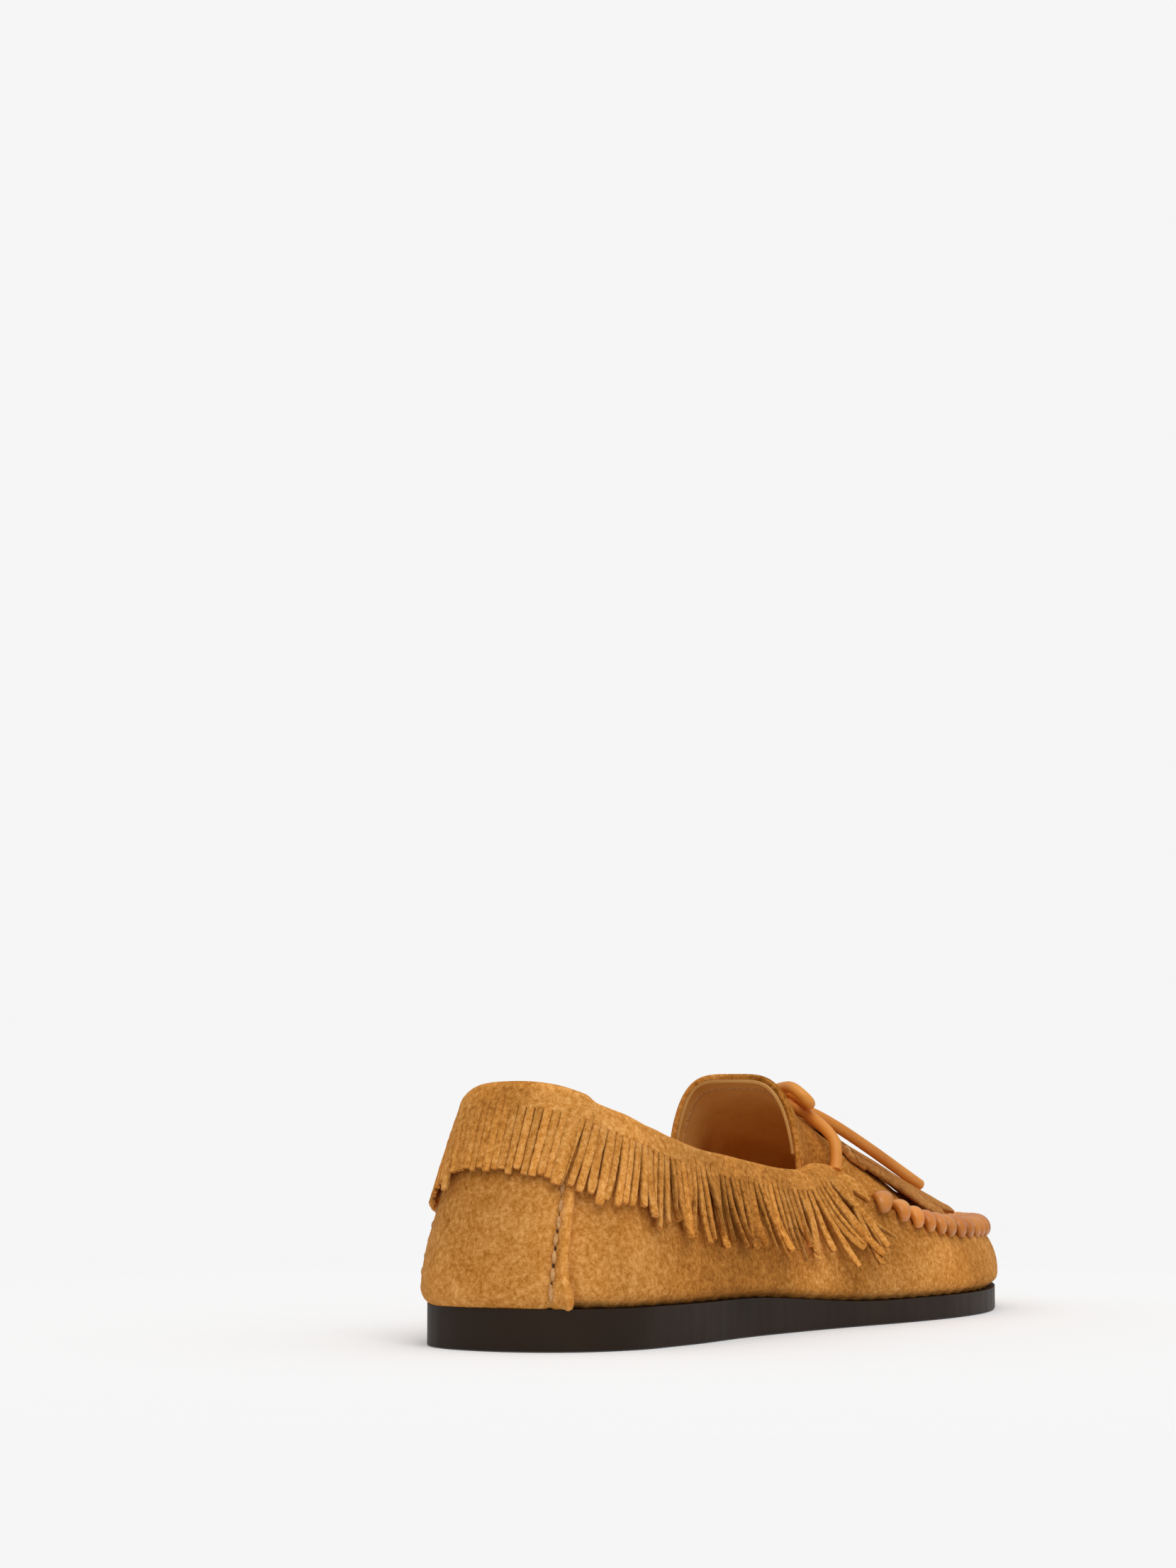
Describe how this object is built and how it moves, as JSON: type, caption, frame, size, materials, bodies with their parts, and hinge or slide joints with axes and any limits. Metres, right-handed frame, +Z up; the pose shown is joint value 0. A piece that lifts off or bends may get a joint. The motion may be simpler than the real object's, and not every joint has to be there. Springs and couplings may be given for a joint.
{
  "type": "moccasin",
  "caption": "Low suede moccasin with a fringed folded collar, a raised tongue, a slit kiltie flap under a thong bow, a whip-stitched apron and a thin dark wedge sole.",
  "frame": {"origin": "on the ground under the middle of the shoe's bounding box", "axes": "+X towards the toe, +Y towards the inner side of the foot, +Z up"},
  "size_m": [0.2683, 0.0896, 0.067],
  "materials": {
    "suede": "napped suede, matte",
    "lining": "smooth, low sheen",
    "sole": "satin",
    "thong": "smooth, waxed",
    "lace": "smooth, waxed",
    "thread": "twisted thread",
    "board": "pressed fibre board",
    "foam": "matte foam",
    "steel": "brushed"
  },
  "bodies": {
    "root": {"outsole": "sole", "steel_shank": "steel", "insole_board": "board", "heel_pad": "foam", "sock_lining": "lining", "vamp_wrap": "suede", "heel_panel": "suede", "heel_counter": "board", "quarter_lining": "lining", "vamp_lining": "lining", "apron": "suede", "apron_lining": "lining", "tongue_edge_stitching": "thread", "whipstitch_thong": "thong", "collar_fringe": "suede", "collar_lace": "lace", "bow_knot": "lace", "heel_seam_stitching_outer": "thread", "heel_seam_stitching_inner": "thread", "lace_strand_outer": "lace", "lace_strand_inner": "lace"},
    "kiltie_flap": {"kiltie": "suede", "kiltie_stitching": "thread"},
    "outer_bow_loop": {"bow_loop_outer": "lace"},
    "inner_bow_loop": {"bow_loop_inner": "lace"},
    "outer_lace_end": {"lace_end_outer": "lace"},
    "inner_lace_end": {"lace_end_inner": "lace"}
  },
  "joints": [
    {"name": "kiltie_lift", "type": "hinge", "parent": "root", "child": "kiltie_flap", "pos_m": [0.0176, -0.0006, 0.0556], "axis": [0, -1, 0], "range_deg": [0, 35]},
    {"name": "outer_bow_loop_flip", "type": "hinge", "parent": "root", "child": "outer_bow_loop", "pos_m": [0.0129, -0.006, 0.0622], "axis": [-1, 0, 0], "range_deg": [0, 40]},
    {"name": "inner_bow_loop_flip", "type": "hinge", "parent": "root", "child": "inner_bow_loop", "pos_m": [0.0129, 0.0048, 0.0622], "axis": [1, 0, 0], "range_deg": [0, 40]},
    {"name": "outer_lace_end_swing", "type": "hinge", "parent": "kiltie_flap", "child": "outer_lace_end", "pos_m": [0.0188, -0.006, 0.0584], "axis": [-0.4699, 0, -0.8827], "range_deg": [0, 18]},
    {"name": "inner_lace_end_swing", "type": "hinge", "parent": "kiltie_flap", "child": "inner_lace_end", "pos_m": [0.0188, 0.0048, 0.0584], "axis": [0.4699, 0, 0.8827], "range_deg": [0, 18]}
  ]
}
